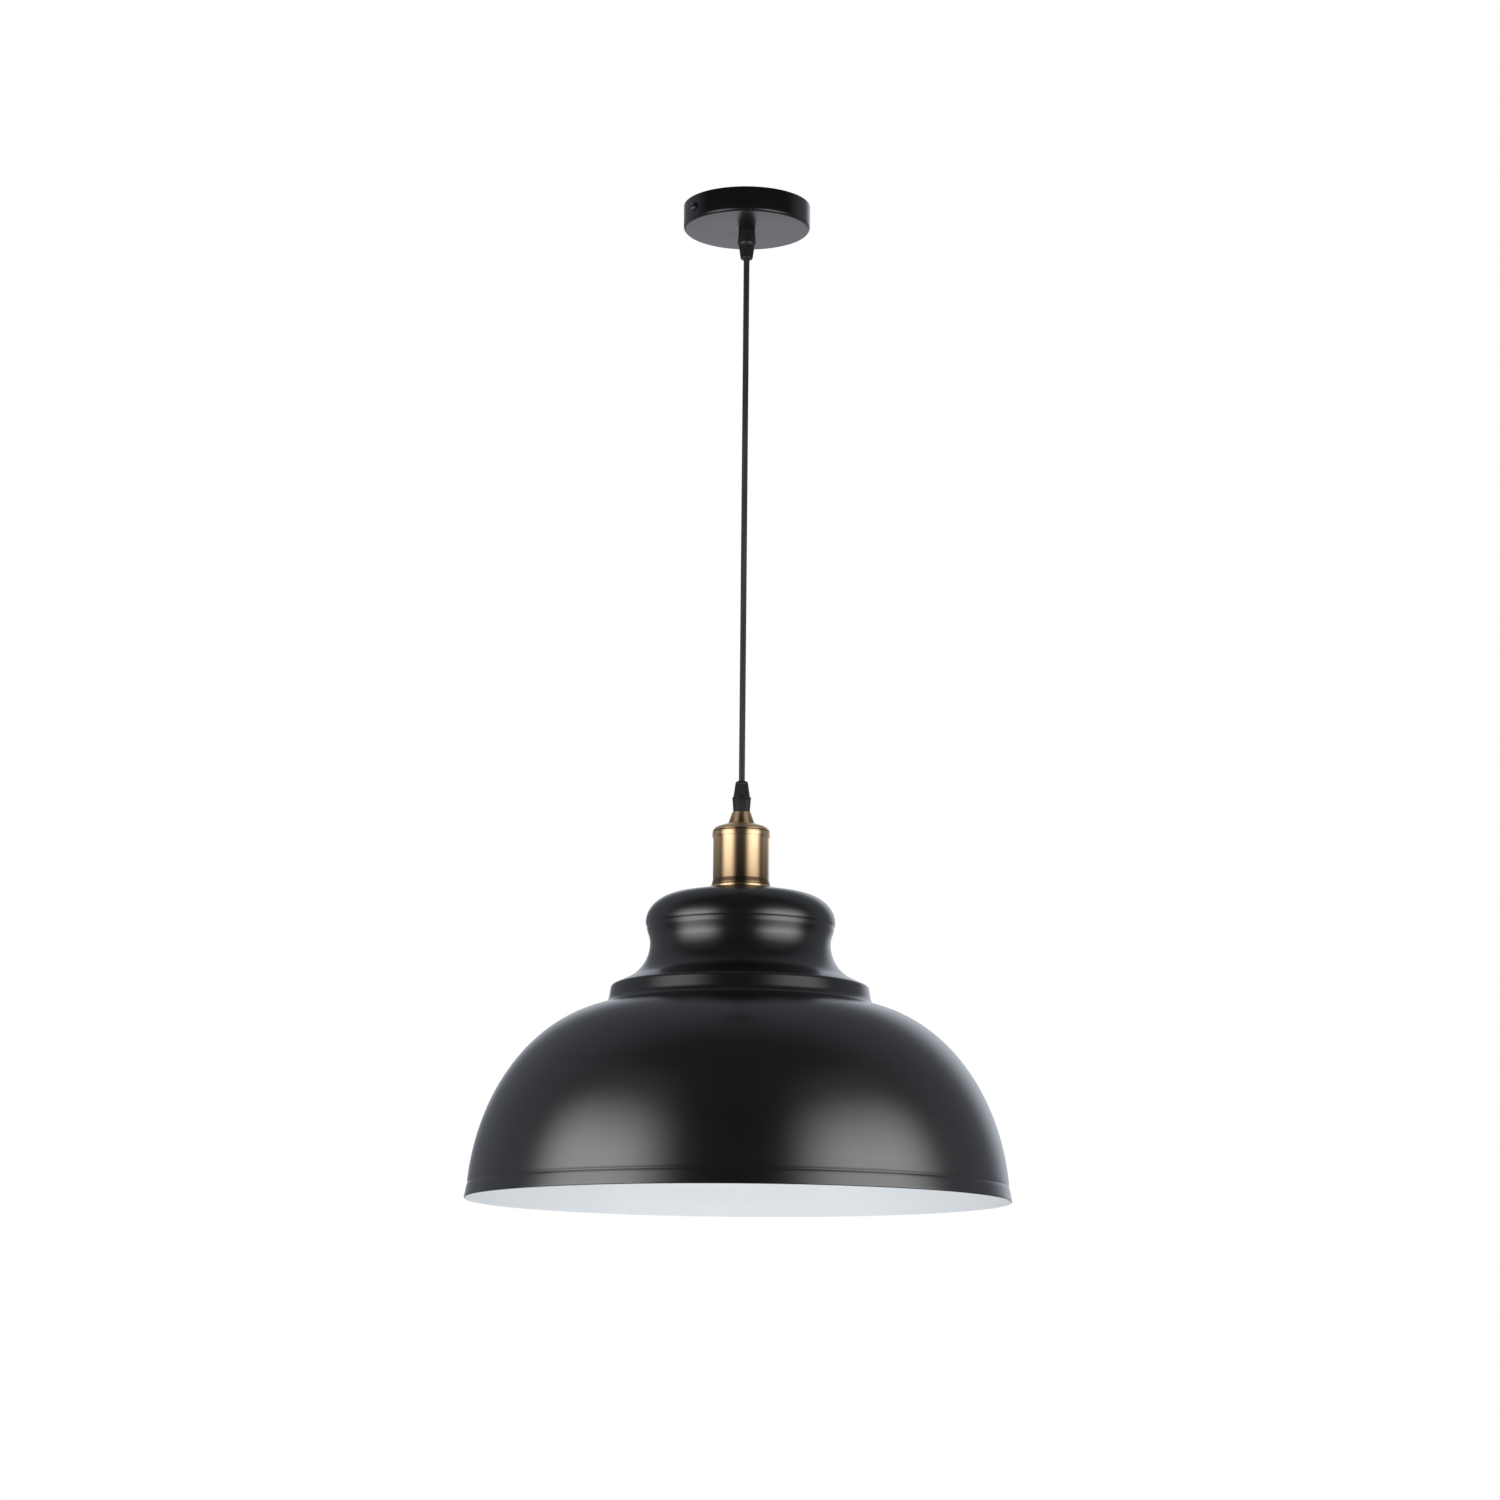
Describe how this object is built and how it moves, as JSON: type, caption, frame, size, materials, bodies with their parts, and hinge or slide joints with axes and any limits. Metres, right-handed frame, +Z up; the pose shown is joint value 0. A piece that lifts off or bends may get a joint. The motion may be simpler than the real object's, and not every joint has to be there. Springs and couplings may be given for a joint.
{
  "type": "pendant ceiling light",
  "caption": "Pendant light: black spun dome shade, white inside, on a brass lampholder, hung from a round ceiling canopy by a taut cord.",
  "frame": {"origin": "on the ceiling plane, on the light's own axis, midway between the bracket's two screw slots", "axes": "+Z up out of the ceiling face, X along the ceiling bracket's strap"},
  "size_m": [0.4, 0.4, 0.76],
  "materials": {
    "satin_black_paint": "satin black powder coat; the shade is white enamel inside",
    "black_nylon": "moulded black nylon",
    "cord_sheath": "matt black round sheath",
    "antique_brass": "turned antique brass, lacquered",
    "zinc_steel": "zinc-plated steel",
    "black_screw": "black oxide screw",
    "contact_brass": "bright pressed brass",
    "copper": "bare stranded copper",
    "terminal_nylon": "natural nylon",
    "porcelain": "white glazed porcelain",
    "phenolic": "black moulded phenolic",
    "live_insulation": "brown insulation",
    "neutral_insulation": "blue insulation",
    "earth_insulation": "green and yellow insulation"
  },
  "bodies": {
    "ceiling_mount": {"ceiling_bracket": "zinc_steel", "canopy": "satin_black_paint", "canopy_screws": "black_screw", "upper_grip_body": "black_nylon", "upper_lock_washer": "zinc_steel", "upper_lock_nut": "zinc_steel", "cord_upper_end": "cord_sheath", "terminal_housing": "terminal_nylon", "terminal_sleeves": "contact_brass", "terminal_screws": "zinc_steel", "terminal_fixing_screw": "zinc_steel", "earth_ring_top": "contact_brass", "earth_screw": "zinc_steel", "live_core_top": "live_insulation", "neutral_core_top": "neutral_insulation", "earth_core_top": "earth_insulation", "bare_ends_top": "copper"},
    "upper_nut": {"upper_grip_nut": "black_nylon"},
    "cord_top": {"cord_top_bend": "cord_sheath"},
    "cord_middle": {"cord_run": "cord_sheath"},
    "cord_bottom": {"cord_bottom_bend": "cord_sheath"},
    "pendant": {"lower_grip_body": "black_nylon", "cord_lower_end": "cord_sheath", "holder_cone": "antique_brass", "holder_cup": "antique_brass", "holder_strap": "zinc_steel", "holder_lock_nut": "zinc_steel", "strap_screws": "zinc_steel", "socket_insulator": "porcelain", "socket_shell": "contact_brass", "contact_foot": "contact_brass", "contact_rivet": "contact_brass", "shell_rivet": "contact_brass", "socket_terminals": "contact_brass", "socket_terminal_screws": "zinc_steel", "earth_ring_bottom": "contact_brass", "strap_earth_screw": "zinc_steel", "live_core_bottom": "live_insulation", "neutral_core_bottom": "neutral_insulation", "earth_core_bottom": "earth_insulation", "bare_ends_bottom": "copper", "shade": "satin_black_paint"},
    "lower_nut": {"lower_grip_nut": "black_nylon"},
    "clamp_ring": {"shade_ring": "phenolic"},
    "contact": {"contact_tongue": "contact_brass"}
  },
  "joints": [
    {"name": "swing_front", "type": "hinge", "parent": "ceiling_mount", "child": "cord_top", "pos_m": [0, 0, -0.04485], "axis": [1, 0, 0], "range_deg": [-35, 35]},
    {"name": "swing_side", "type": "hinge", "parent": "cord_top", "child": "cord_middle", "pos_m": [0, 0, -0.06885], "axis": [0, 1, 0], "range_deg": [-35, 35]},
    {"name": "cord_twist", "type": "hinge", "parent": "cord_middle", "child": "cord_bottom", "pos_m": [0, 0, -0.42175], "axis": [0, 0, 1], "range_deg": [-180, 180], "stiffness_Nm_per_rad": 0.003},
    {"name": "pendant_tilt", "type": "hinge", "parent": "cord_bottom", "child": "pendant", "pos_m": [0, 0, -0.44575], "axis": [1, 0, 0], "range_deg": [-20, 20]},
    {"name": "upper_nut_turn", "type": "hinge", "parent": "ceiling_mount", "child": "upper_nut", "pos_m": [0, 0, -0.035], "axis": [0, 0, -1], "range_deg": [0, 360]},
    {"name": "lower_nut_turn", "type": "hinge", "parent": "pendant", "child": "lower_nut", "pos_m": [0, 0, -0.455], "axis": [0, 0, 1], "range_deg": [0, 360]},
    {"name": "shade_ring_turn", "type": "hinge", "parent": "pendant", "child": "clamp_ring", "pos_m": [0, 0, -0.534], "axis": [0, 0, -1], "range_deg": [0, 360]},
    {"name": "contact_press", "type": "hinge", "parent": "pendant", "child": "contact", "pos_m": [0.0017, 0, -0.51325], "axis": [0, 1, 0], "range_deg": [0, 12], "stiffness_Nm_per_rad": 0.03}
  ]
}
